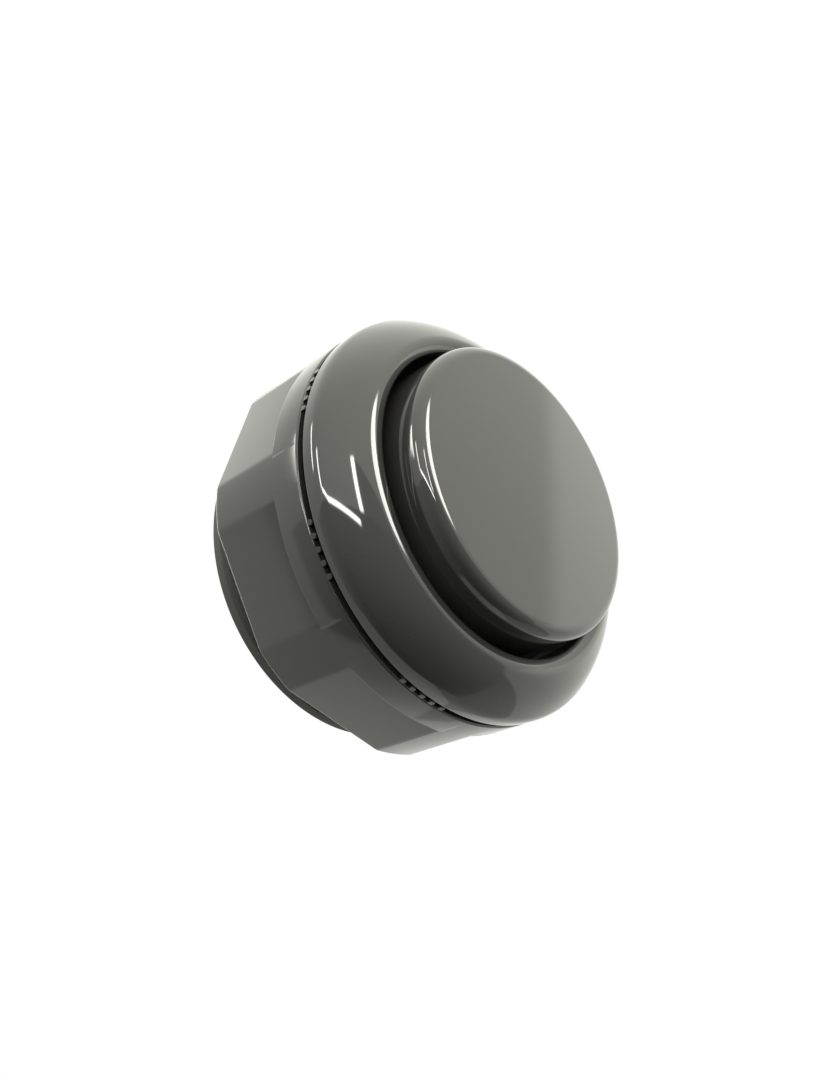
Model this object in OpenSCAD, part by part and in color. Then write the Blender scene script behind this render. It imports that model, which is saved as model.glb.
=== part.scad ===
// Screw-in panel push-button: a capped plunger in a rounded bezel, a threaded barrel with a panel nut,
// and a hinge-lever snap switch held in the rear cover.
// Frame: the axis is Z, the cap faces +Z, and z = 0 is the bezel's underside, where the panel's face lies.

/* [Bezel and barrel] */
// Outer diameter of the bezel
bezel_d = 35; // [34.9:0.1:36]
// Height of the bezel's crest above the panel
bezel_h = 4.3; // [4.1:0.1:4.6]
// Diameter of the hole that the cap moves in
bezel_hole_d = 26.2; // [26:0.1:26.4]
// Diameter over the barrel's thread
thread_d = 29.8; // [29.6:0.1:29.8]
// Thread pitch
thread_pitch = 1.6; // [1.4:0.1:1.8]
// Length of the barrel behind the panel
barrel_len = 14.2; // [14:0.1:14.4]

/* [Panel nut] */
// Outer diameter of the nut
nut_d = 34.9; // [34:0.1:35]
// Length of the nut
nut_len = 9.85; // [9:0.05:10]
// Length of the nut's plain collar in front of the flats
nut_collar = 2.85; // [2:0.05:4]
// Number of wrench flats
nut_flats = 8; // [6:1:10]
// Half of the angle that one flat spans
flat_half_angle = 16.2; // [14:0.1:17]
// Turn of the nut about the axis
nut_turn = -7.9; // [-22:0.1:22]
// Number of grip teeth in front of each flat
teeth_per_flat = 5; // [3:1:5]

/* [Plunger] */
// Diameter of the cap
cap_d = 24.8; // [24.6:0.1:25]
// Height of the cap's top above the panel at rest
cap_top = 7.2; // [7:0.1:7.4]
// Radius of the cap's rounded top edge
cap_round = 1; // [0.8:0.1:1.2]
// How far the plunger travels
travel = 3; // [2.6:0.1:3]

/* [Switch] */
// Length of the switch case
case_x = 19.8; // [19.6:0.1:20]
// Width of the switch case
case_y = 6.4; // [6.2:0.1:6.6]
// Width of a tab terminal
tab_w = 2.8; // [2.6:0.1:2.8]
// Thickness of a tab terminal
tab_t = 0.5; // [0.4:0.1:0.5]

/* [Hidden] */
$fn = 96;

cut = 0.02;       // how far a cutting tool runs past the face that it opens
run = 0.05;       // radial clearance of a sliding or turning fit
air = 0.06;       // gap between pieces that push on each other

bezel_r = bezel_d / 2;
hole_r = bezel_hole_d / 2;
thread_r = thread_d / 2;
root_r = thread_r - 0.55;
bore_r = thread_r - 1.7;

nut_r = nut_d / 2;
nut_front = -0.55;
nut_back = nut_front - nut_len;
nut_bore_r = thread_r + 0.07;
flat_r = nut_r * cos(flat_half_angle);
tooth_pitch = 3.4;
tooth_w = 0.5;
tooth_top = -0.1;

cap_r = cap_d / 2;
cap_wall = 1.5;
cap_skirt = 1;
stem_r = 6.5;
stem_bore_r = 5.2;
stem_end = -5.6;
flange_top = cap_top - 1.5;
flange_t = 1.2;
flange_under = flange_top - flange_t;

shelf_top = -2.4;
shelf_t = 1.2;
guide_r = 7.9;
guide_top = flange_under - travel - run;
guide_end = -4.6;
key_w = 1.6;
key_r = 7.2;

cover_front = -12.8;
claw_z = -11.5;
case_top = -9.6;
case_wall = 0.7;
base_top = -15;
base_back = -17.2;
tab_back = base_back - 6.2;

pivot_x = -8.6;
pivot_z = -9.1;
push_x = 5;
push_z = stem_end - 0.44;
nose_r = 0.5;
lever_t = 0.35;
lever_w = 4;
lever_angle = atan((push_z - air - pivot_z - lever_t / 2) / (push_x - pivot_x));
button_x = -4.2;
button_r = 1.2;
button_top = pivot_z - lever_t / 2 - air + (button_x - button_r - pivot_x) * tan(lever_angle);

blade_z = -13;
blade_t = 0.2;
contact_x = 6.5;
contact_h = 0.9;
pin_z = -16;
pin_r = 0.9;
pin_x = 4.2;
com_x = -7.6;
no_x = 0.6;
nc_x = 8.65;

dark = [0.27, 0.27, 0.26];
mid = [0.36, 0.36, 0.35];
steel = [0.72, 0.72, 0.74];
brass = [0.80, 0.66, 0.36];
silver = [0.86, 0.86, 0.84];

// Ring about the axis between two radii and two heights
module ring(r_out, r_in, z_lo, z_hi) {
    translate([0, 0, z_lo])
        difference() {
            cylinder(r = r_out, h = z_hi - z_lo);
            translate([0, 0, -cut])
                cylinder(r = r_in, h = z_hi - z_lo + 2 * cut);
        }
}

// Box from its lowest and highest corners
module block(lo, hi) {
    translate(lo)
        cube(hi - lo);
}

// Rod along Y, centred on the XZ plane
module rod(x, z, r, length) {
    translate([x, length / 2, z])
        rotate([90, 0, 0])
            cylinder(r = r, h = length, $fn = 32);
}

// Centre of a circle of radius r that two other circles touch from inside
function blend_centre(a, ra, b, rb, r) =
    let (
        span = b - a,
        d = norm(span),
        da = r - ra,
        db = r - rb,
        along = (d * d + da * da - db * db) / (2 * d),
        off = sqrt(da * da - along * along),
        dir = span / d
    )
    a + dir * along + [-dir[1], dir[0]] * off;

// ---- bezel and threaded barrel, one moulding ----

edge_round = 1.6;
crest_round = 1.3;
flank_round = 7;
edge_c = [bezel_r - 0.05 - edge_round, 0.9];
crest_c = [bezel_r - 3.51, bezel_h - crest_round];
flank_c = blend_centre(edge_c, edge_round, crest_c, crest_round, flank_round);

// Half section of the bezel: upright side, rounded edge, gently bowed flank and rounded crest
module bezel_section() {
    edge_dir = (edge_c - flank_c) / norm(edge_c - flank_c);
    crest_dir = (crest_c - flank_c) / norm(crest_c - flank_c);
    difference() {
        union() {
            translate(edge_c) circle(r = edge_round);
            translate(crest_c) circle(r = crest_round);
            intersection() {
                translate(flank_c) circle(r = flank_round);
                polygon([
                    edge_c,
                    flank_c + edge_dir * (flank_round + 1),
                    flank_c + (edge_dir + crest_dir) * (flank_round + 1) * 0.6,
                    flank_c + crest_dir * (flank_round + 1),
                    crest_c
                ]);
            }
            polygon([
                [hole_r, 0], [bezel_r - 0.2, 0], [bezel_r - 0.05, 0.15],
                [bezel_r - 0.05, edge_c[1]], edge_c, crest_c, [hole_r, crest_c[1]]
            ]);
        }
        translate([0, -3]) square([hole_r, 12]);
        translate([0, -3]) square([bezel_r + 1, 3]);
    }
}

thread_first = -0.8;
thread_turns = floor((barrel_len - 2.6) / thread_pitch);
thread_land = 0.35 * thread_pitch;
thread_flank = 0.2 * thread_pitch;

// Half section of the barrel's wall with its thread, from the panel to the chamfered rear end
module barrel_section() {
    grooves = [for (i = [0:thread_turns - 1])
        let (z = thread_first - i * thread_pitch)
        each [
            [thread_r, z],
            [root_r, z - thread_flank],
            [root_r, z - thread_pitch + thread_land + thread_flank],
            [thread_r, z - thread_pitch + thread_land]
        ]
    ];
    polygon(concat(
        [[bore_r, 0], [thread_r, 0]],
        grooves,
        [[thread_r, -barrel_len + 0.2], [thread_r - 0.2, -barrel_len], [bore_r, -barrel_len]]
    ));
}

module bezel_barrel() {
    color(dark)
    difference() {
        union() {
            rotate_extrude($fn = 128) bezel_section();
            rotate_extrude($fn = 128) barrel_section();
            ring(bore_r + 0.1, guide_r - 0.1, shelf_top - shelf_t, shelf_top);
            ring(guide_r, stem_r + run, guide_end, guide_top);
        }
        // keyways that stop the plunger turning
        for (side = [0, 180])
            rotate([0, 0, side])
                block([stem_r - 0.5, -key_w / 2 - 0.1, guide_end - cut],
                      [key_r + 0.1, key_w / 2 + 0.1, guide_top + cut]);
        // bore above the shelf
        translate([0, 0, shelf_top])
            ring(hole_r, guide_r, 0, -shelf_top + cut);
        // groove that the rear cover's claws snap into
        ring(bore_r + 0.5, bore_r - 0.3, claw_z - 0.7, claw_z + 0.7);
    }
}

// ---- panel nut ----

// Blank of the nut with its front and rear edges broken
module nut_blank() {
    edge = 0.3;
    rotate_extrude($fn = 128)
        polygon([
            [nut_bore_r, nut_back], [nut_r - edge, nut_back], [nut_r, nut_back + edge],
            [nut_r, nut_front - 0.2], [nut_r - 0.2, nut_front], [nut_bore_r, nut_front]
        ]);
}

module nut_teeth() {
    pitch_angle = 360 / nut_flats;
    middle = (teeth_per_flat - 1) / 2;
    intersection() {
        ring(nut_r - 0.05, nut_bore_r + 0.6, nut_front - 0.2, tooth_top);
        for (flat = [0:nut_flats - 1], tooth = [0:teeth_per_flat - 1])
            rotate([0, 0, nut_turn + flat * pitch_angle + (tooth - middle) * tooth_pitch])
                block([nut_bore_r, -tooth_w / 2, nut_front - 0.3], [nut_r + 1, tooth_w / 2, 0]);
    }
}

module panel_nut() {
    color(mid)
    union() {
        difference() {
            nut_blank();
            for (flat = [0:nut_flats - 1])
                rotate([0, 0, nut_turn + flat * 360 / nut_flats])
                    block([flat_r, -nut_r / 2, nut_back - 1], [nut_r + 1, nut_r / 2, nut_front - nut_collar]);
            // lead-in chamfer at the front and rear of the bore
            translate([0, 0, nut_front - 0.4])
                cylinder(r1 = nut_bore_r, r2 = nut_bore_r + 0.5, h = 0.5);
            translate([0, 0, nut_back - 0.1])
                cylinder(r1 = nut_bore_r + 0.5, r2 = nut_bore_r, h = 0.5);
        }
        nut_teeth();
    }
}

// ---- plunger ----

module plunger_cap() {
    inner_r = cap_r - cap_wall;
    bead = 0.3;
    color(dark)
    rotate_extrude($fn = 128) difference() {
        polygon([
            [0, flange_top], [0, cap_top], [cap_r, cap_top], [cap_r, cap_skirt + 0.2],
            [cap_r - 0.2, cap_skirt], [inner_r, cap_skirt],
            [inner_r, flange_under - 2 * bead - run], [inner_r - bead, flange_under - bead - run],
            [inner_r, flange_under - run], [inner_r, flange_top]
        ]);
        translate([cap_r - cap_round, cap_top - cap_round])
            difference() {
                square(cap_round + cut);
                circle(r = cap_round);
            }
    }
}

module plunger_stem() {
    flange_r = cap_r - cap_wall - run;
    hook_top = guide_end - 0.1;
    slit = 0.8;
    color(mid)
    difference() {
        union() {
            ring(flange_r, stem_bore_r, flange_under, flange_top);
            ring(stem_r, stem_bore_r, stem_end, flange_under + cut);
            // push bar across the stem's end
            intersection() {
                translate([0, 0, stem_end]) cylinder(r = stem_r - 0.1, h = 1.2);
                block([-stem_r, -2.5, stem_end], [stem_r, 2.5, stem_end + 1.2]);
            }
            // rounded nose that pushes the lever
            rod(push_x, push_z + nose_r, nose_r, 3.2);
            block([push_x - nose_r, -1.6, push_z + nose_r], [push_x + nose_r, 1.6, stem_end + 0.2]);
            // guide keys on both sides
            for (side = [0, 180])
                rotate([0, 0, side])
                    block([stem_r - 0.4, -key_w / 2, hook_top], [key_r, key_w / 2, flange_under + cut]);
            // snap hooks that hold the plunger in the guide
            intersection() {
                ring(stem_r + 0.8, stem_bore_r, stem_end, hook_top);
                block([-1.8, -stem_r - 1, stem_end], [1.8, stem_r + 1, hook_top]);
            }
        }
        // slits that free the two hooked fingers
        for (x = [-3.2, 3.2 - slit], side = [0, 180])
            rotate([0, 0, side])
                block([x, stem_bore_r - 2, stem_end - cut], [x + slit, stem_r + 1, 0.5]);
    }
}

// Points of a ring of wire round a helix: turns, radius, wire, start height and height gained
function coil_height(t, turns, lo, hi) =
    lo + (hi - lo) * min(1, max(0, (t * turns - 0.75) / (turns - 1.5)));

function coil_ring(t, turns, r, wire, lo, hi, sides) =
    let (a = 360 * turns * t, z = coil_height(t, turns, lo + wire / 2, hi - wire / 2))
    [for (s = [0:sides - 1])
        let (w = 360 * s / sides, rr = r + wire / 2 * cos(w))
        [rr * cos(a), rr * sin(a), z + wire / 2 * sin(w)]
    ];

module coil_spring(r, wire, turns, lo, hi, steps, sides) {
    rings = turns * steps;
    points = [for (i = [0:rings]) each coil_ring(i / rings, turns, r, wire, lo, hi, sides)];
    walls = [for (i = [0:rings - 1], s = [0:sides - 1])
        let (n = (s + 1) % sides, a = i * sides, b = a + sides)
        [a + s, b + s, b + n, a + n]
    ];
    start = [for (s = [0:sides - 1]) s];
    end = [for (s = [sides - 1:-1:0]) rings * sides + s];
    polyhedron(points = points, faces = concat([start, end], walls));
}

module return_spring() {
    color(steel)
        coil_spring(r = 9.1, wire = 0.7, turns = 5, lo = shelf_top + 0.02, hi = flange_under - 0.02,
                    steps = 24, sides = 8);
}

// ---- rear cover ----

module rear_cover() {
    cover_r = bore_r - run;
    cradle_x = 6.6;
    color(dark)
    difference() {
        union() {
            translate([0, 0, -barrel_len])
                cylinder(r = cover_r, h = barrel_len + cover_front);
            // cradle walls that hold the switch behind the cover
            for (side = [0, 180])
                rotate([0, 0, side])
                    block([-cradle_x, case_y / 2 + run, base_back + 0.2],
                          [cradle_x, case_y / 2 + 1.1, cover_front - cut]);
            // claws that snap into the barrel's groove
            intersection() {
                union() {
                    ring(cover_r - 0.05, cover_r - 1, cover_front - cut, claw_z + 0.6);
                    ring(cover_r + 0.35, cover_r - 1, claw_z - 0.6, claw_z + 0.6);
                }
                block([-3, -thread_r, cover_front - cut], [3, thread_r, claw_z + 1]);
            }
        }
        // window for the switch case
        block([-case_x / 2 - run, -case_y / 2 - run, base_back], [case_x / 2 + run, case_y / 2 + run, 0]);
        for (x = [-pin_x, pin_x])
            rod(x, pin_z, pin_r + 0.02, 20);
    }
}

// ---- snap switch ----

module switch_base() {
    lip_x = case_x / 2 - case_wall - run;
    lip_y = case_y / 2 - case_wall - run;
    color([0.16, 0.16, 0.17])
    difference() {
        union() {
            block([-case_x / 2, -case_y / 2, base_back], [case_x / 2, case_y / 2, base_top]);
            difference() {
                block([-lip_x, -lip_y, base_top - cut], [lip_x, lip_y, base_top + 0.8]);
                block([-lip_x + 0.8, -lip_y + 0.4, base_top - 1], [lip_x - 0.8, lip_y - 0.4, base_top + 1]);
            }
        }
        for (x = [-pin_x, pin_x])
            rod(x, pin_z, pin_r + 0.02, 2 * case_y);
        for (x = [com_x, no_x, nc_x])
            block([x - tab_t / 2 - 0.02, -tab_w / 2 - 0.02, base_back - 1],
                  [x + tab_t / 2 + 0.02, tab_w / 2 + 0.02, base_top + 1]);
    }
}

module switch_case() {
    ear = 0.9;
    color([0.2, 0.2, 0.21])
    difference() {
        union() {
            block([-case_x / 2, -case_y / 2, base_top], [case_x / 2, case_y / 2, case_top]);
            // ears that carry the lever's pin
            for (y = [-case_y / 2, case_y / 2 - ear])
                hull() {
                    translate([0, y + ear / 2, 0]) rod(pivot_x, pivot_z, 1, ear);
                    block([pivot_x - 1.2, y, case_top - 0.3], [pivot_x + 1.6, y + ear, case_top]);
                }
        }
        block([-case_x / 2 + case_wall, -case_y / 2 + case_wall, base_top - 1],
              [case_x / 2 - case_wall, case_y / 2 - case_wall, case_top - 0.8]);
        translate([button_x, 0, case_top - 2]) cylinder(r = button_r + run, h = 4, $fn = 48);
        // pin hole through both ears, with room below for the lever's curl
        rod(pivot_x, pivot_z, 0.52, 2 * case_y);
        block([-case_x / 2 - 1, -lever_w / 2 - 0.2, case_top - 0.55],
              [pivot_x + 1.2, lever_w / 2 + 0.2, case_top + 1]);
    }
}

module lever_pin() {
    color(steel)
        rod(pivot_x, pivot_z, 0.5, case_y - 0.1);
}

module switch_lever() {
    reach = (push_x + 1.4 - pivot_x) / cos(lever_angle);
    color(steel)
    translate([pivot_x, 0, pivot_z])
        rotate([0, -lever_angle, 0])
            difference() {
                union() {
                    block([0, -lever_w / 2, -lever_t / 2], [reach, lever_w / 2, lever_t / 2]);
                    rod(0, 0, 0.85, lever_w);
                }
                rod(0, 0, 0.55, 2 * lever_w);
            }
}

module switch_button() {
    inside = case_top - 0.8;
    color([0.62, 0.16, 0.13])
    translate([button_x, 0, 0])
        union() {
            translate([0, 0, inside - 0.2]) cylinder(r = button_r, h = button_top - inside + 0.2, $fn = 48);
            translate([0, 0, inside - 0.7]) cylinder(r = 1.7, h = 0.6, $fn = 48);
            translate([0, 0, blade_z + 0.2]) cylinder(r = 1, h = inside - 0.5 - blade_z, $fn = 48);
        }
}

module contact_blade() {
    color(brass)
    difference() {
        block([com_x - 0.6, -1.6, blade_z - blade_t / 2], [contact_x + 1.2, 1.6, blade_z + blade_t / 2]);
        // window that the button's foot passes through
        block([button_x - 1.4, -1.25, blade_z - 1], [button_x + 1.4, 1.25, blade_z + 1]);
        translate([contact_x, 0, blade_z - 1]) cylinder(r = 0.6, h = 2);
    }
}

module moving_contact() {
    face = (contact_h - blade_t) / 2;
    color(silver)
    translate([contact_x, 0, blade_z])
        union() {
            translate([0, 0, -contact_h / 2]) cylinder(r = 0.59, h = contact_h, $fn = 32);
            for (z = [-contact_h / 2, blade_t / 2])
                translate([0, 0, z]) cylinder(r = 1, h = face, $fn = 32);
        }
}

module snap_spring() {
    color(steel)
    translate([com_x + 1.3, 0.6, blade_z - 0.95])
        rotate([90, 0, 0])
            linear_extrude(1.2)
                difference() {
                    circle(r = 0.75, $fn = 48);
                    circle(r = 0.6, $fn = 48);
                    translate([-2, 0.35]) square([4, 2]);
                }
}

no_top = blade_z - contact_h / 2 - 0.58;
nc_bottom = blade_z + contact_h / 2 + run;
arm_t = 0.4;

module fixed_contact_no() {
    color(silver)
        translate([contact_x, 0, no_top - 0.45]) cylinder(r = 1.1, h = 0.45, $fn = 32);
}

module fixed_contact_nc() {
    color(silver)
        translate([contact_x, 0, nc_bottom]) cylinder(r = 1.1, h = 0.45, $fn = 32);
}

// Tab terminal with its lead-in chamfers and hole, up to the given height
module tab(x, top) {
    color(brass)
    difference() {
        block([x - tab_t / 2, -tab_w / 2, tab_back], [x + tab_t / 2, tab_w / 2, top]);
        translate([x - tab_t, 0, tab_back + 2.2])
            rotate([0, 90, 0])
                cylinder(r = 0.6, h = 2 * tab_t, $fn = 32);
        for (side = [-1, 1])
            translate([x, side * tab_w / 2, tab_back])
                rotate([45, 0, 0])
                    cube([2 * tab_t, 0.8, 0.8], center = true);
    }
}

module terminal_common() {
    tab(com_x, blade_z - blade_t / 2 - run);
}

module terminal_no() {
    arm_z = no_top - 0.45 - arm_t;
    color(brass)
    union() {
        tab(no_x, arm_z + arm_t);
        block([no_x - tab_t / 2, -tab_w / 2, arm_z], [contact_x + 1.1, tab_w / 2, arm_z + arm_t]);
    }
}

module terminal_nc() {
    arm_z = nc_bottom + 0.45;
    color(brass)
    union() {
        tab(nc_x, arm_z + arm_t);
        block([contact_x - 1.1, -tab_w / 2, arm_z], [nc_x + tab_t / 2, tab_w / 2, arm_z + arm_t]);
    }
}

// Pin through the switch's base and the cradle's walls
module mounting_pin(x) {
    color(steel)
        rod(x, pin_z, pin_r, case_y + 2.2);
}

module mounting_pin_left() {
    mounting_pin(-pin_x);
}

module mounting_pin_right() {
    mounting_pin(pin_x);
}

bezel_barrel();
panel_nut();
plunger_cap();
plunger_stem();
return_spring();
rear_cover();
switch_base();
switch_case();
switch_lever();
lever_pin();
switch_button();
contact_blade();
moving_contact();
snap_spring();
fixed_contact_no();
fixed_contact_nc();
terminal_common();
terminal_no();
terminal_nc();
mounting_pin_left();
mounting_pin_right();
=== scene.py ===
"""Looks of a screw-in panel push-button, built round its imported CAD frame.

The frame's axis is Z and the cap faces +Z. Sizes below are in millimetres and meshes are in metres.
"""

import logging
import math
from collections.abc import Sequence
from dataclasses import dataclass, field
from enum import Enum

import bmesh
import bpy
from mathutils import Matrix, Vector


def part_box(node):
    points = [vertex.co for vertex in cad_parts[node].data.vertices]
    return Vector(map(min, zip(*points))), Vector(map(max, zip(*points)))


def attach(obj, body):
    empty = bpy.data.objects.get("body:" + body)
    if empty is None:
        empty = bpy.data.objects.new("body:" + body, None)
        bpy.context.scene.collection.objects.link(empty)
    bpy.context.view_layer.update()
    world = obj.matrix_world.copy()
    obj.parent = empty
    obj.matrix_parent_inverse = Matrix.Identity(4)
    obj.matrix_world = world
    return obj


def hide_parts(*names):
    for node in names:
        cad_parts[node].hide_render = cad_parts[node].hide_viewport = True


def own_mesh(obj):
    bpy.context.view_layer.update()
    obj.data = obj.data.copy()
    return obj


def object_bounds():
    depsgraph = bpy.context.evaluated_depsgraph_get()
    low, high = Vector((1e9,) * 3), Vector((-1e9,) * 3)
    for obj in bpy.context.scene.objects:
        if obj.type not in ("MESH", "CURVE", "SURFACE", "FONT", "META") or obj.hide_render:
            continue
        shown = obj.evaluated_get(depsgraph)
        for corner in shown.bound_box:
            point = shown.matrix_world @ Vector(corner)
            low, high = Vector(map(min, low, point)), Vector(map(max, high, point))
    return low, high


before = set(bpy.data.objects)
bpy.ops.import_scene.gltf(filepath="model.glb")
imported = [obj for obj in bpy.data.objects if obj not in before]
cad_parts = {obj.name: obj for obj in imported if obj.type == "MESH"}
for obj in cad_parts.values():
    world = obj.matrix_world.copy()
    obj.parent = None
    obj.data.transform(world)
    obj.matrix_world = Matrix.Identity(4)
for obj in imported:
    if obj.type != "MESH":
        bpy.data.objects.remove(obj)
cad_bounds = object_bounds()

log = logging.getLogger("push_button")

MM = 0.001
TURN = 2 * math.pi
Point = tuple[float, float]
Colour = tuple[float, float, float]
Way = tuple[float, float, float]


class Body(Enum):
    """The CAD bodies that the new pieces ride on."""

    HOUSING = "housing"
    NUT = "nut"
    PLUNGER = "plunger"


# ---------------------------------------------------------------- shader graphs


@dataclass(frozen=True)
class Channel:
    """One output of a shader graph, with arithmetic written as Python expressions."""

    graph: "Graph"
    socket: bpy.types.NodeSocket

    def __truediv__(self, other: "Channel | float") -> "Channel":
        """Divides.

        Args:
            other: the divisor.

        Returns:
            The quotient.
        """
        return self._math("DIVIDE", self, other)

    def __rtruediv__(self, other: float) -> "Channel":
        """Divides a number.

        Args:
            other: the number in front.

        Returns:
            The quotient.
        """
        return self._math("DIVIDE", other, self)

    def _math(self, operation: str, *values: "Channel | float") -> "Channel":
        """Adds one Math node.

        Args:
            operation: the Math node's operation.
            values: its inputs in order.

        Returns:
            The node's result.
        """
        return self.graph.node("ShaderNodeMath", {"operation": operation}, dict(enumerate(values)))

    def __add__(self, other: "Channel | float") -> "Channel":
        """Adds.

        Args:
            other: what is added.

        Returns:
            The sum.
        """
        return self._math("ADD", self, other)

    def __radd__(self, other: float) -> "Channel":
        """Adds to a number.

        Args:
            other: the number in front.

        Returns:
            The sum.
        """
        return self._math("ADD", other, self)

    def __sub__(self, other: "Channel | float") -> "Channel":
        """Subtracts.

        Args:
            other: what is taken away.

        Returns:
            The difference.
        """
        return self._math("SUBTRACT", self, other)

    def __rsub__(self, other: float) -> "Channel":
        """Subtracts from a number.

        Args:
            other: the number in front.

        Returns:
            The difference.
        """
        return self._math("SUBTRACT", other, self)

    def __mul__(self, other: "Channel | float") -> "Channel":
        """Multiplies.

        Args:
            other: the factor.

        Returns:
            The product.
        """
        return self._math("MULTIPLY", self, other)

    def __rmul__(self, other: float) -> "Channel":
        """Multiplies a number.

        Args:
            other: the number in front.

        Returns:
            The product.
        """
        return self._math("MULTIPLY", other, self)

    def step(self, low: float, high: float) -> "Channel":
        """Smooth step from 0 at low to 1 at high.

        Args:
            low: the value where the step starts.
            high: the value where it ends.

        Returns:
            The stepped value.
        """
        return self.graph.node(
            "ShaderNodeMapRange",
            {"interpolation_type": "SMOOTHSTEP"},
            {"Value": self, "From Min": low, "From Max": high},
        )


Link = Channel | float | Sequence[float]


class Graph:
    """A node tree that is filled by expressions."""

    def __init__(self, tree: bpy.types.NodeTree) -> None:
        """Empties the tree.

        Args:
            tree: the node tree of a material or a world.
        """
        self.tree = tree
        tree.nodes.clear()

    def node(
        self,
        kind: str,
        settings: dict[str, object] | None = None,
        inputs: dict[str | int, Link] | None = None,
        output: str | int = 0,
    ) -> Channel:
        """Adds a node and returns one of its outputs.

        Args:
            kind: the node's type.
            settings: its properties, which are set first.
            inputs: values or links of its sockets, by name or number.
            output: the output to return.

        Returns:
            The chosen output.
        """
        return Channel(self, self._add(kind, settings or {}, inputs or {}).outputs[output])

    def close(self, kind: str, name: str, shader: Channel) -> None:
        """Adds the graph's last node.

        Args:
            kind: the output node's type.
            name: its socket's name.
            shader: what goes into it.
        """
        self._add(kind, {}, {name: shader})

    def _add(self, kind: str, settings: dict[str, object], inputs: dict[str | int, Link]) -> bpy.types.Node:
        """Makes a node.

        Args:
            kind: the node's type.
            settings: its properties.
            inputs: values or links of its sockets.

        Returns:
            The node.
        """
        made = self.tree.nodes.new(kind)
        for name, value in settings.items():
            setattr(made, name, value)
        for key, value in inputs.items():
            if isinstance(value, Channel):
                self.tree.links.new(value.socket, made.inputs[key])
            else:
                made.inputs[key].default_value = value
        return made

    def mix(self, share: Link, low: Link, high: Link) -> Channel:
        """Mixes two colours.

        Args:
            share: how much of the second colour shows.
            low: the colour at 0, with its alpha.
            high: the colour at 1, with its alpha.

        Returns:
            The mixed colour.
        """
        return self.node("ShaderNodeMix", {"data_type": "RGBA"}, {0: share, 6: low, 7: high}, 2)

    def place(self) -> Channel:
        """Reads the place on the object.

        Returns:
            The place, in metres.
        """
        return self.node("ShaderNodeTexCoord", output="Object")

    def noise(self, where: Channel, per_mm: float, detail: float = 2.0) -> Channel:
        """Cloudy noise.

        Args:
            where: the place that it is read at.
            per_mm: how many blotches there are in a millimetre.
            detail: how many finer layers it has.

        Returns:
            Noise from 0 to 1.
        """
        return self.node(
            "ShaderNodeTexNoise", None, {"Vector": where, "Scale": per_mm / MM, "Detail": detail}
        )

    def bump(self, height: Channel, depth_mm: float) -> Channel:
        """Turns a height into a normal.

        Args:
            height: the height, from 0 to 1.
            depth_mm: the depth that 1 stands for.

        Returns:
            The bent normal.
        """
        return self.node("ShaderNodeBump", None, {"Height": height, "Distance": depth_mm * MM})


@dataclass(frozen=True)
class Finish:
    """What every finish has: a name and the record's material slot."""

    name: str
    slot: str

    def material(self) -> bpy.types.Material:
        """Makes the finish's material, once.

        Returns:
            The material.
        """
        found = bpy.data.materials.get(self.name)
        if found:
            return found
        made = bpy.data.materials.new(self.name)
        made.use_nodes = True
        graph = Graph(made.node_tree)
        shader = self.shade(graph)
        graph.close("ShaderNodeOutputMaterial", "Surface", shader)
        return made

    def shade(self, graph: Graph) -> Channel:
        """Builds the shader.

        Args:
            graph: the material's graph.

        Returns:
            The shader's output.
        """
        raise NotImplementedError


@dataclass(frozen=True)
class MouldedPlastic(Finish):
    """Injection-moulded plastic with faint flow clouds, a rippled skin and fine handling marks."""

    colour: Colour = (0.0145, 0.0143, 0.0128)
    roughness: float = 0.05
    ripple_mm: float = 0.004
    ripples_per_mm: float = 0.35
    grain_mm: float = 0.0
    grains_per_mm: float = 9.0
    clouding: float = 0.12
    dull_below: float = -99.0
    dullness: float = 0.6

    def shade(self, graph: Graph) -> Channel:
        """Builds the shader.

        Args:
            graph: the material's graph.

        Returns:
            The shader's output.
        """
        place = graph.place()
        cloud = graph.noise(place, 0.12, 3.0)
        low = tuple(c * (1 - self.clouding) for c in self.colour)
        high = tuple(c * (1 + self.clouding) for c in self.colour)
        colour = graph.mix(cloud, (*low, 1.0), (*high, 1.0))
        stretched = graph.node(
            "ShaderNodeMapping", {"vector_type": "POINT"}, {"Vector": place, "Scale": (1.0, 1.0, 9.0)}
        )
        marks = graph.noise(stretched, 1.4, 5.0).step(0.62, 0.78)
        height = graph.node("ShaderNodeSeparateXYZ", None, {"Vector": place}, "Z") / MM
        dull = 1 - height.step(self.dull_below - 0.1, self.dull_below + 0.1)
        roughness = self.roughness + 0.04 * marks + 0.02 * cloud + self.dullness * dull
        skin = graph.noise(place, self.ripples_per_mm, 1.0)
        normal = graph.bump(skin, self.ripple_mm)
        if self.grain_mm:
            grain = graph.noise(place, self.grains_per_mm, 3.0)
            normal = graph.node(
                "ShaderNodeBump", None, {"Height": grain, "Distance": self.grain_mm * MM, "Normal": normal}
            )
        return graph.node(
            "ShaderNodeBsdfPrincipled",
            None,
            {
                "Base Color": colour,
                "Roughness": roughness,
                "IOR": 1.5,
                "Normal": normal,
            },
        )


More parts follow.
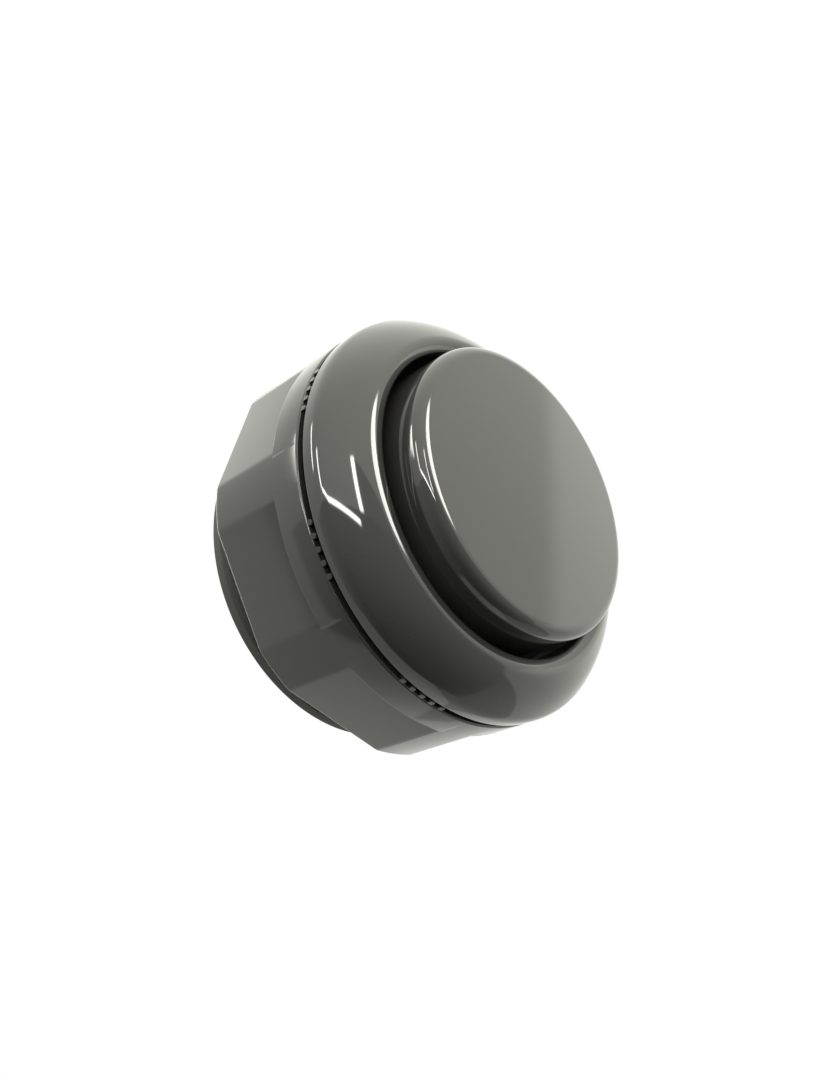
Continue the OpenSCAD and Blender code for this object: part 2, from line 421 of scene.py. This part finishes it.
@dataclass(frozen=True)
class DrawnMetal(Finish):
    """Sheet or wire metal with drawing lines and dull patches."""

    colour: Colour = (0.6, 0.6, 0.62)
    stain: Colour = (0.42, 0.41, 0.4)
    roughness: float = 0.28
    lines_per_mm: float = 6.0

    def shade(self, graph: Graph) -> Channel:
        """Builds the shader.

        Args:
            graph: the material's graph.

        Returns:
            The shader's output.
        """
        place = graph.place()
        stretched = graph.node(
            "ShaderNodeMapping", {"vector_type": "POINT"}, {"Vector": place, "Scale": (1.0, 1.0, 0.06)}
        )
        lines = graph.noise(stretched, self.lines_per_mm, 3.0)
        patch = graph.noise(place, 0.5, 4.0).step(0.45, 0.75)
        colour = graph.mix(patch, (*self.colour, 1.0), (*self.stain, 1.0))
        return graph.node(
            "ShaderNodeBsdfPrincipled",
            None,
            {
                "Base Color": colour,
                "Metallic": 1.0,
                "Roughness": self.roughness + 0.14 * lines + 0.1 * patch,
                "Normal": graph.bump(lines, 0.004),
            },
        )


@dataclass(frozen=True)
class PaleFloor(Finish):
    """White sweep that the button is seen against."""

    brightness: float = 1.0

    def shade(self, graph: Graph) -> Channel:
        """Builds the shader.

        Args:
            graph: the material's graph.

        Returns:
            The shader's output.
        """
        return graph.node(
            "ShaderNodeEmission", None, {"Color": (1.0, 1.0, 1.0, 1.0), "Strength": self.brightness}
        )


GLOSS_BEZEL = MouldedPlastic("gloss_bezel", "bezel_plastic", dull_below=-0.5)
GLOSS_NUT = MouldedPlastic("gloss_nut", "nut_plastic", roughness=0.1, ripple_mm=0.003)
GLOSS_CAP = MouldedPlastic("gloss_cap", "cap_plastic", ripple_mm=0.002)
STEM_PLASTIC = MouldedPlastic(
    "stem_plastic", "stem_plastic", (0.05, 0.05, 0.05), 0.38, grain_mm=0.01, clouding=0.2
)
COVER_PLASTIC = MouldedPlastic(
    "cover_plastic", "cover_plastic", (0.05, 0.05, 0.047), 0.34, grain_mm=0.012, clouding=0.2
)
SWITCH_PLASTIC = MouldedPlastic(
    "switch_plastic", "switch_plastic", (0.022, 0.022, 0.024), 0.42, grain_mm=0.014, clouding=0.25
)
BUTTON_PLASTIC = MouldedPlastic("button_plastic", "button_plastic", (0.4, 0.04, 0.03), 0.3, clouding=0.15)
SPRING_STEEL = DrawnMetal("spring_steel", "spring_steel")
TINNED_BRASS = DrawnMetal("tinned_brass", "terminal_brass", (0.74, 0.66, 0.48), (0.5, 0.42, 0.27), 0.3)
SILVER = DrawnMetal("contact_silver", "contact_silver", (0.86, 0.86, 0.84), (0.6, 0.58, 0.55), 0.22)


# ---------------------------------------------------------------- meshes


def arc(centre: Point, radius: float, start: float, end: float, steps: int) -> list[Point]:
    """Points along an arc.

    Args:
        centre: the arc's centre.
        radius: its radius.
        start: its first angle in degrees.
        end: its last angle in degrees.
        steps: the number of stretches.

    Returns:
        The points, both ends included.
    """
    turn = [math.radians(start + (end - start) * i / steps) for i in range(steps + 1)]
    return [(centre[0] + radius * math.cos(a), centre[1] + radius * math.sin(a)) for a in turn]


def rounded(points: Sequence[tuple[float, float, float]], steps: int = 5) -> list[Point]:
    """Rounds the corners of a closed outline.

    Args:
        points: corners with the radius of each one.
        steps: the number of stretches in a rounded corner.

    Returns:
        The outline.
    """
    made: list[Point] = []
    count = len(points)
    for i, (x, y, radius) in enumerate(points):
        here = Vector((x, y))
        if radius <= 0:
            made.append((x, y))
            continue
        to_last = (Vector(points[i - 1][:2]) - here).normalized()
        to_next = (Vector(points[(i + 1) % count][:2]) - here).normalized()
        half = to_last.angle(to_next) / 2
        centre = here + (to_last + to_next).normalized() * (radius / math.sin(half))
        first = here + to_last * (radius / math.tan(half)) - centre
        last = here + to_next * (radius / math.tan(half)) - centre
        a0 = math.degrees(math.atan2(first.y, first.x))
        a1 = math.degrees(math.atan2(last.y, last.x))
        sweep = (a1 - a0 + 180) % 360 - 180
        made += arc((centre.x, centre.y), radius, a0, a0 + sweep, steps)
    return made


class Skin:
    """A mesh under construction, in millimetres."""

    def __init__(self) -> None:
        """Starts with nothing."""
        self.mesh = bmesh.new()

    def grid(
        self, rows: Sequence[Sequence[Sequence[float]]], closed_rows: bool, closed_columns: bool
    ) -> None:
        """Adds a sheet of quads.

        Args:
            rows: rows of points, all of one length.
            closed_rows: whether each row closes on itself.
            closed_columns: whether the last row joins the first one.
        """
        made = [[self.mesh.verts.new([c * MM for c in p]) for p in row] for row in rows]
        high, wide = len(made), len(made[0])
        for i in range(high if closed_columns else high - 1):
            for j in range(wide if closed_rows else wide - 1):
                corner = (made[i][j], made[i][(j + 1) % wide])
                other = (made[(i + 1) % high][(j + 1) % wide], made[(i + 1) % high][j])
                self.mesh.faces.new((*corner, *other))

    def lathe(self, outline: Sequence[Point], steps: int = 192) -> None:
        """Turns a closed outline about Z.

        Args:
            outline: radii with heights, in order round the section.
            steps: the number of stretches round the axis.
        """
        rows = []
        for i in range(steps):
            a = TURN * i / steps
            rows.append([(r * math.cos(a), r * math.sin(a), z) for r, z in outline])
        self.grid(rows, True, True)

    def piece(self, name: str, finish: Finish, body: Body, crease: float = 40.0) -> bpy.types.Object:
        """Finishes the mesh as a piece.

        Args:
            name: the piece's name.
            finish: its material.
            body: the CAD body that it rides on.
            crease: the angle in degrees above which an edge stays sharp.

        Returns:
            The new object.
        """
        bmesh.ops.remove_doubles(self.mesh, verts=self.mesh.verts, dist=1e-7)
        bmesh.ops.recalc_face_normals(self.mesh, faces=self.mesh.faces)
        data = bpy.data.meshes.new(name)
        self.mesh.to_mesh(data)
        self.mesh.free()
        made = bpy.data.objects.new(name, data)
        bpy.context.scene.collection.objects.link(made)
        soften(made, crease)
        made.data.materials.append(finish.material())
        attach(made, body.value)
        log.info("%s: %d faces on %s", name, len(data.polygons), body.value)
        return made


def soften(thing: bpy.types.Object, crease: float) -> None:
    """Shades a mesh smooth and keeps its sharp edges.

    Args:
        thing: the object.
        crease: the angle in degrees above which an edge stays sharp.
    """
    data = thing.data
    data.shade_smooth()
    shaped = bmesh.new()
    shaped.from_mesh(data)
    for edge in shaped.edges:
        edge.smooth = len(edge.link_faces) == 2 and edge.calc_face_angle(0.0) < math.radians(crease)
    shaped.to_mesh(data)
    shaped.free()


def dress(node: str, finish: Finish) -> None:
    """Gives a CAD node its finish.

    Args:
        node: the node's name.
        finish: its material.
    """
    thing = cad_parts[node]
    thing.data.materials.clear()
    thing.data.materials.append(finish.material())
    log.info("%s: CAD node in %s", node, finish.name)


def softened_copy(node: str, name: str, body: Body, finish: Finish, edge: float) -> bpy.types.Object:
    """Stands a copy of a CAD node with rounded edges in its place.

    Args:
        node: the CAD node.
        name: the new piece's name.
        body: the body that it rides on.
        finish: its material.
        edge: the edges' radius.

    Returns:
        The new piece.
    """
    skin = Skin()
    skin.mesh.from_mesh(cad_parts[node].data)
    bmesh.ops.remove_doubles(skin.mesh, verts=skin.mesh.verts, dist=1e-6)
    flat = math.radians(1.0)
    bmesh.ops.dissolve_limit(skin.mesh, angle_limit=flat, verts=skin.mesh.verts, edges=skin.mesh.edges)
    made = skin.piece(name, finish, body, 30.0)
    bevel = made.modifiers.new("edges", "BEVEL")
    bevel.width = edge * MM
    bevel.segments = 2
    bevel.limit_method = "ANGLE"
    bevel.angle_limit = math.radians(35)
    bevel.use_clamp_overlap = True
    bevel.harden_normals = True
    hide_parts(node)
    return made


# ---------------------------------------------------------------- the button


def top(node: str) -> float:
    """Reads a CAD node's highest point.

    Args:
        node: the node's name.

    Returns:
        The size, in millimetres.
    """
    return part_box(node)[1].z / MM


def foot(node: str) -> float:
    """Reads a CAD node's lowest point.

    Args:
        node: the node's name.

    Returns:
        The size, in millimetres.
    """
    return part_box(node)[0].z / MM


def half_width(node: str) -> float:
    """Reads a CAD node's half width.

    Args:
        node: the node's name.

    Returns:
        The size, in millimetres.
    """
    low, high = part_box(node)
    return (high.x - low.x) / 2 / MM


@dataclass
class Thread:
    """A helical thread, cut into a wall or standing in a bore."""

    crest: float
    root: float
    pitch: float
    first: float
    last: float
    steps: int = 160
    run_out: float = 0.5

    def rows(self) -> list[list[tuple[float, float, float]]]:
        """Lays the thread's points out.

        Returns:
            Columns round the axis, each from the last height to the first one.
        """
        land, flank = 0.3 * self.pitch, 0.2 * self.pitch
        turns = math.ceil((self.first - self.last) / self.pitch) + 1
        section: list[Point] = []
        for i in range(turns):
            base = self.last + (i - 1) * self.pitch
            section += [
                (self.crest, base),
                (self.crest, base + land - 0.04),
                (self.crest + (self.root - self.crest) * 0.06, base + land),
                (self.root - (self.root - self.crest) * 0.08, base + land + flank),
                (self.root, base + land + flank + 0.05),
                (self.root, base + self.pitch - flank - 0.05),
                (self.root - (self.root - self.crest) * 0.08, base + self.pitch - flank),
                (self.crest + (self.root - self.crest) * 0.06, base + self.pitch - 0.03),
            ]
        section.append((self.crest, self.last + (turns - 1) * self.pitch))
        rows = []
        for i in range(self.steps + 1):
            a = TURN * i / self.steps
            lift = self.pitch * i / self.steps
            row = []
            for radius, height in section:
                z = min(self.first, max(self.last, height + lift))
                depth = min(1.0, min(self.first - z, z - self.last) / self.run_out)
                r = self.crest + (radius - self.crest) * depth
                row.append((r * math.cos(a), r * math.sin(a), z))
            rows.append(row)
        return rows


@dataclass
class Moulding:
    """The bezel and the threaded barrel, one piece."""

    bezel: float = field(default_factory=lambda: half_width("bezel_barrel"))
    crest: float = field(default_factory=lambda: top("bezel_barrel"))
    rear: float = field(default_factory=lambda: foot("bezel_barrel"))
    hole: float = 13.1
    bore: float = 13.2
    thread: float = 14.9
    thread_root: float = 14.35
    pitch: float = 1.6
    guide_outer: float = 7.9
    guide_inner: float = 7.32
    guide_top: float = 1.45
    guide_foot: float = -4.6
    shelf: Point = (-2.4, -3.6)
    edge_round: float = 1.6
    crest_round: float = 1.3
    flank_round: float = 7.0
    lip: float = 0.35

    def crown(self) -> list[Point]:
        """Draws the bezel's outside.

        Returns:
            The outline from the underside's edge over the crest to the hole's wall.
        """
        edge = Vector((self.bezel - self.edge_round, 0.9))
        peak = Vector((self.bezel - 3.46, self.crest - self.crest_round))
        span = peak - edge
        da, db = self.flank_round - self.edge_round, self.flank_round - self.crest_round
        along = (span.length_squared + da * da - db * db) / (2 * span.length)
        off = math.sqrt(da * da - along * along)
        unit = span.normalized()
        flank = edge + unit * along + Vector((-unit.y, unit.x)) * off
        a0 = math.degrees(math.atan2(*(edge - flank).yx))
        a1 = math.degrees(math.atan2(*(peak - flank).yx))
        reach = self.crest_round - self.lip
        lip_angle = 180 - math.degrees(math.acos((peak.x - self.hole - self.lip) / reach))
        lip_at = (self.hole + self.lip, peak.y + reach * math.sin(math.radians(lip_angle)))
        return [
            *arc((self.bezel - 0.2, 0.2), 0.2, -90, 0, 4),
            *arc((edge.x, edge.y), self.edge_round, 0, a0, 12),
            *arc((flank.x, flank.y), self.flank_round, a0, a1, 14)[1:],
            *arc((peak.x, peak.y), self.crest_round, a1, lip_angle, 16)[1:],
            *arc(lip_at, self.lip, lip_angle, 180, 6)[1:],
        ]

    def inside(self) -> list[Point]:
        """Draws the well, the guide tube and the bore.

        Returns:
            The outline from the hole's wall to the rear edge.
        """
        return rounded(
            [
                (self.hole, 0.5, 0),
                (self.hole, self.shelf[0], 0.25),
                (self.guide_outer, self.shelf[0], 0.25),
                (self.guide_outer, self.guide_top, 0.15),
                (self.guide_inner, self.guide_top, 0.15),
                (self.guide_inner, self.guide_foot, 0.15),
                (self.guide_outer, self.guide_foot, 0.15),
                (self.guide_outer, self.shelf[1], 0.25),
                (self.bore, self.shelf[1], 0.25),
                (self.bore, self.rear, 0.2),
                (self.thread, self.rear, 0.2),
                (self.thread, self.rear + 0.9, 0),
            ],
            4,
        )

    def build(self) -> None:
        """Makes the moulding with its helical thread."""
        skin = Skin()
        thread = Thread(self.thread, self.thread_root, self.pitch, -0.3, self.rear + 0.9)
        outline = [*self.crown(), *self.inside()]
        rows = []
        for column, i in zip(thread.rows(), range(thread.steps + 1)):
            a = TURN * i / thread.steps
            turned = [(r * math.cos(a), r * math.sin(a), z) for r, z in outline]
            rows.append([*turned, *column, (self.thread * math.cos(a), self.thread * math.sin(a), 0.0)])
        skin.grid(rows, True, False)
        piece = skin.piece("bezel_and_barrel", GLOSS_BEZEL, Body.HOUSING, 38.0)
        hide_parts("bezel_barrel")


@dataclass
class PanelNut:
    """The nut behind the panel: a round collar, eight flats and groups of grip teeth."""

    outer: float = 17.45
    front: float = -0.55
    rear: float = field(default_factory=lambda: foot("panel_nut"))
    tooth_top: float = field(default_factory=lambda: top("panel_nut"))
    collar: float = 2.85
    flats: int = 8
    flat_half_angle: float = 16.2
    turn: float = -7.9
    bore: float = 14.97
    bore_root: float = 15.5
    pitch: float = 1.6
    teeth: int = 5
    tooth_pitch: float = 3.4
    tooth_width: float = 0.42
    fine_steps: int = 96

    def wrench_radius(self, angle: float, blend: float) -> float:
        """Radius of the flatted section.

        Args:
            angle: the direction in degrees.
            blend: how softly a flat meets the round corner.

        Returns:
            The radius.
        """
        pitch = 360 / self.flats
        off = (angle - self.turn + pitch / 2) % pitch - pitch / 2
        flat = self.outer * math.cos(math.radians(self.flat_half_angle)) / math.cos(math.radians(off))
        gap = (flat - self.outer) / blend
        if abs(gap) > 30:
            return min(flat, self.outer)
        return -blend * math.log(math.exp(-flat / blend + self.outer / blend) + 1) + self.outer

    def build(self) -> None:
        """Makes the nut."""
        skin = Skin()
        shoulder = self.front - self.collar
        steps = self.flats * self.fine_steps
        rows = []
        thread = Thread(self.bore, self.bore_root, self.pitch, self.front - 0.6, self.rear + 0.6, steps)
        for column, i in zip(thread.rows(), range(steps + 1)):
            degrees = 360 * i / steps
            a = math.radians(degrees)
            section = self.section(self.wrench_radius(degrees, 0.02), shoulder)
            ring = [(r * math.cos(a), r * math.sin(a), z) for r, z in section]
            rows.append([*ring, *column])
        skin.grid(rows, True, False)
        for flat in range(self.flats):
            for tooth in range(self.teeth):
                off = (tooth - (self.teeth - 1) / 2) * self.tooth_pitch
                self.tooth(skin, self.turn + flat * 360 / self.flats + off)
        piece = skin.piece("panel_nut_body", GLOSS_NUT, Body.NUT, 38.0)
        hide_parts("panel_nut")

    def section(self, wrench: float, shoulder: float) -> list[Point]:
        """Outline from the bore's front edge over the outside to the bore's rear edge.

        Args:
            wrench: the radius of the flatted part in this direction.
            shoulder: the height where the flats start.

        Returns:
            The outline's points.
        """
        edge, rear_edge = 0.2, 0.32
        depth = self.outer - wrench
        fillet = min(0.08, depth * 0.4)
        shoulder_edge = min(0.16, depth / 2)
        return [
            (self.bore + 0.5, self.front),
            *arc((self.outer - edge, self.front - edge), edge, 90, 0, 5),
            *arc((self.outer - shoulder_edge, shoulder + shoulder_edge), shoulder_edge, 0, -90, 4),
            (wrench + fillet, shoulder),
            (wrench, shoulder - fillet),
            *arc((wrench - rear_edge, self.rear + rear_edge), rear_edge, 0, -90, 5),
            (self.bore + 0.5, self.rear),
        ]

    def tooth(self, skin: Skin, degrees: float) -> None:
        """Adds one grip tooth with a rounded crest.

        Args:
            skin: the nut's mesh.
            degrees: the tooth's direction.
        """
        half = self.tooth_width / 2
        low, high = self.front - 0.1, self.tooth_top
        left = [(-half, low), (-half, high - 0.12), (0.12 - half, high)]
        across = [*left, *((-y, z) for y, z in reversed(left))]
        turn = Matrix.Rotation(math.radians(degrees), 3, "Z")
        rows = []
        inner, outer = self.bore + 0.9, self.outer - 0.06
        for r, drop in ((inner, 0.1), (inner + 0.1, 0.0), (outer - 0.11, 0.0), (outer, 0.1)):
            rows.append([turn @ Vector((r, y, min(z, high - drop))) for y, z in across])
        skin.grid(rows, True, False)
        for row in (rows[0], rows[-1]):
            skin.mesh.faces.new([skin.mesh.verts.new(p * MM) for p in row])


@dataclass
class Plunger:
    """The cap and the stem that it is clipped to."""

    outer: float = field(default_factory=lambda: half_width("plunger_cap"))
    face: float = field(default_factory=lambda: top("plunger_cap"))
    skirt: float = field(default_factory=lambda: foot("plunger_cap"))
    wall: float = 1.5
    roof: float = 1.5
    edge: float = 1.0

    def build(self) -> None:
        """Makes the cap and dresses the stem."""
        inner = self.outer - self.wall
        ceiling = self.face - self.roof
        outline = [
            (0.0, self.face),
            *arc((self.outer - self.edge, self.face - self.edge), self.edge, 90, 0, 16),
            *arc((self.outer - 0.2, self.skirt + 0.2), 0.2, 0, -90, 4),
            *arc((inner + 0.2, self.skirt + 0.2), 0.2, -90, -180, 4),
            (inner, ceiling),
            (0.0, ceiling),
        ]
        skin = Skin()
        skin.lathe(outline)
        piece = skin.piece("cap_shell", GLOSS_CAP, Body.PLUNGER)
        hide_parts("plunger_cap")
        dress("plunger_stem", STEM_PLASTIC)


@dataclass
class ReturnSpring:
    """The coil spring under the cap, with its end turns closed."""

    radius: float = 9.1
    wire: float = 0.35
    turns: float = 5.0
    closed: float = 0.75
    steps: int = 64
    sides: int = 14
    travel: float = 3.0

    def build(self) -> None:
        """Makes the spring as a swept wire."""
        low = foot("return_spring") + self.wire
        high = top("return_spring") - self.wire
        count = round(self.turns * self.steps)
        rows = []
        for i in range(count + 1):
            t = self.turns * i / count
            share = min(1.0, max(0.0, (t - self.closed) / (self.turns - 2 * self.closed)))
            a, z = TURN * t, low + (high - low) * share
            ring = []
            for j in range(self.sides):
                w = TURN * j / self.sides
                r = self.radius + self.wire * math.cos(w)
                ring.append((r * math.cos(a), r * math.sin(a), z + self.wire * math.sin(w)))
            rows.append(ring)
        skin = Skin()
        skin.grid(rows, True, False)
        for ring in (rows[0], rows[-1]):
            skin.mesh.faces.new([skin.mesh.verts.new([c * MM for c in p]) for p in ring])
        piece = skin.piece("coil_spring", SPRING_STEEL, Body.HOUSING)
        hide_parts("return_spring")
        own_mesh(piece)


@dataclass
class RearCover:
    """The cover that closes the barrel and holds the switch."""

    edge: float = 0.15

    def build(self) -> None:
        """Makes the cover with its edges broken."""
        softened_copy("rear_cover", "rear_cover_shell", Body.HOUSING, COVER_PLASTIC, self.edge)


@dataclass
class SnapSwitch:
    """The lever switch in the rear cover."""

    edge: float = 0.12

    def build(self) -> None:
        """Makes the switch's pieces."""
        softened_copy("switch_base", "switch_base_block", Body.HOUSING, SWITCH_PLASTIC, self.edge)
        softened_copy("switch_case", "switch_case_shell", Body.HOUSING, SWITCH_PLASTIC, self.edge)
        for node in ("terminal_common", "terminal_no", "terminal_nc"):
            softened_copy(node, node + "_tab", Body.HOUSING, TINNED_BRASS, 0.06)
        for node in ("switch_lever", "lever_pin", "mounting_pin_left", "mounting_pin_right", "snap_spring"):
            dress(node, SPRING_STEEL)
        for node in ("moving_contact", "fixed_contact_no", "fixed_contact_nc"):
            dress(node, SILVER)
        dress("switch_button", BUTTON_PLASTIC)
        dress("contact_blade", TINNED_BRASS)


# ---------------------------------------------------------------- studio


@dataclass(frozen=True)
class Edge:
    """A soft straight edge of a card, where one side of a plane through the button fades in."""

    towards: Way
    start: float = -0.01
    end: float = 0.01

    def share(self, way: Channel) -> Channel:
        """How far inside the edge a direction is.

        Args:
            way: the direction.

        Returns:
            0 outside to 1 inside.
        """
        unit = tuple(Vector(self.towards).normalized())
        facing = way.graph.node(
            "ShaderNodeVectorMath", {"operation": "DOT_PRODUCT"}, {0: way, 1: unit}, "Value"
        )
        return facing.step(self.start, self.end)


@dataclass(frozen=True)
class Card:
    """A patch of the surroundings with straight or round edges."""

    edges: tuple[Edge, ...]
    strength: float = 1.0

    def light(self, way: Channel) -> Channel:
        """Light that comes from a direction.

        Args:
            way: the direction.

        Returns:
            The card's strength where the direction meets it, and 0 elsewhere.
        """
        total: Channel | float = self.strength
        for edge in self.edges:
            total = edge.share(way) * total
        return total


@dataclass(frozen=True)
class Batten(Card):
    """A thin bright strip between two directions."""

    @classmethod
    def between(
        cls, first: Way, last: Way, strength: float, width: float
    ) -> "Batten":
        """Lays the strip.

        Args:
            first: the direction of one end.
            last: the direction of the other end.
            strength: its brightness.
            width: its width, in radians.

        Returns:
            The strip.
        """
        a, b = Vector(first).normalized(), Vector(last).normalized()
        across = a.cross(b).normalized()
        return cls(
            (
                Edge(tuple(across), -width, -width * 0.6),
                Edge(tuple(-across), -width, -width * 0.6),
                Edge(tuple(across.cross(a)), -0.01, 0.03),
                Edge(tuple(b.cross(across)), -0.01, 0.03),
            ),
            strength,
        )


@dataclass
class Studio:
    """The camera, the white sweep and the light that surrounds the button."""

    elevation: float = 37.7
    roll: float = 64.7
    distance: float = 91.1
    aim: Way = (0.0, -2.55, -3.31)
    lens: float = 36.67
    floor_drop: float = 300.0
    tint: Colour = (1.0, 1.0, 0.935)
    ambient: float = 1.05
    wall: Card = Card((Edge((-0.999, 0.04, 0.0), -1.0, 1.2),), 1.16)
    lift: float = 0.41
    flag: Card = Card(
        (
            Edge((0.815, -0.579, 0.0), 0.0, 0.012),
            Edge((-0.254, -0.83, 0.741), -0.02, 0.03),
            Edge((0.0, 0.0, 1.0), -0.731, -0.7),
        )
    )
    shade: Card = Card((Edge((0.385, 0.747, 0.542), 0.0, 0.01), Edge((0.383, -0.921, 0.065), 0.0, 0.02)), 0.5)
    flag_shine: float = 0.07
    flag_bounce: Card = Card((Edge((-0.815, 0.579, 0.0), -1.2, 0.0),), 0.8)
    lamps: tuple[Card, ...] = (
        Batten.between((-0.87, -0.48, -0.08), (-0.65, -0.76, 0.0), 24.0, 0.055),
        Batten.between((-0.65, -0.76, 0.02), (-0.26, -0.54, 0.8), 30.0, 0.032),
        Batten.between((-0.63, -0.22, 0.75), (-0.31, -0.45, 0.84), 30.0, 0.042),
        Batten.between((-0.84, -0.12, -0.53), (-0.7, -0.5, -0.5), 16.0, 0.055),
        Card((Edge((-0.25, 0.42, 0.87), 0.957, 0.975),), 18.0),
        Batten.between((-0.34, 0.5, -0.8), (-0.1, 0.15, -0.98), 4.0, 0.13),
        Card((Edge((0.541, 0.408, -0.735), -0.02, 0.02), Edge((0.1, 0.89, 0.44), 0.7, 1.0)), 0.8),
        Card((Edge((-0.83, 0.5, -0.3), 0.6, 1.0),), 0.27),
        Card((Edge((0.9, 0.3, -0.3), 0.6, 1.0),), 0.45),
    )

    def camera(self) -> None:
        """Sets the camera up."""
        lift = math.radians(self.elevation)
        back = Vector((0.0, -math.cos(lift), math.sin(lift)))
        data = bpy.data.cameras.new("camera")
        data.sensor_width = 36.0
        data.lens = self.lens
        data.clip_start, data.clip_end = 0.005, 20.0
        made = bpy.data.objects.new("camera", data)
        made.location = (Vector(self.aim) + back * self.distance) * MM
        made.rotation_mode = "QUATERNION"
        upright = (-back).to_track_quat("-Z", "Y")
        made.rotation_quaternion = upright @ Matrix.Rotation(math.radians(self.roll), 3, "Z").to_quaternion()
        bpy.context.scene.collection.objects.link(made)
        bpy.context.scene.camera = made

    def floor(self) -> None:
        """Lays the pale floor well below the button."""
        skin = bmesh.new()
        bmesh.ops.create_circle(skin, cap_ends=True, radius=4.0, segments=64)
        data = bpy.data.meshes.new("floor")
        skin.to_mesh(data)
        skin.free()
        made = bpy.data.objects.new("floor", data)
        made.location.z = cad_bounds[0].z - self.floor_drop * MM
        made.visible_diffuse = made.visible_glossy = made.visible_shadow = False
        data.materials.append(PaleFloor("pale_floor", "").material())
        bpy.context.scene.collection.objects.link(made)

    def light(self) -> None:
        """Builds the surrounding light."""
        world = bpy.data.worlds.new("studio")
        bpy.context.scene.world = world
        world.use_nodes = True
        graph = Graph(world.node_tree)
        way = graph.node("ShaderNodeTexCoord", output="Generated")
        height = graph.node("ShaderNodeSeparateXYZ", None, {"Vector": way}, "Z")
        room = (self.ambient + self.wall.light(way)) * (1 + self.lift * height) * (1 - self.shade.light(way))
        flagged = self.flag.light(way)
        total = room * (1 - flagged) + flagged * (self.flag_shine + self.flag_bounce.light(way))
        for lamp in self.lamps:
            total = total + lamp.light(way)
        seen = graph.node("ShaderNodeLightPath", output="Is Camera Ray")
        strength = seen + (1 - seen) * total
        colour = graph.mix(seen, (*self.tint, 1.0), (1.0, 1.0, 1.0, 1.0))
        shader = graph.node("ShaderNodeBackground", None, {"Color": colour, "Strength": strength})
        graph.close("ShaderNodeOutputWorld", "Surface", shader)

    def build(self) -> None:
        """Sets up everything round the button."""
        scene = bpy.context.scene
        scene.view_settings.view_transform = "Standard"
        self.camera()
        self.floor()
        self.light()


def main() -> None:
    """Builds the studio and then the button's sub-assemblies."""
    logging.basicConfig(level=logging.INFO, format="%(name)s: %(message)s")
    Studio().build()
    for part in (Moulding(), PanelNut(), Plunger(), ReturnSpring(), RearCover(), SnapSwitch()):
        part.build()


if __name__ == "__main__":
    main()
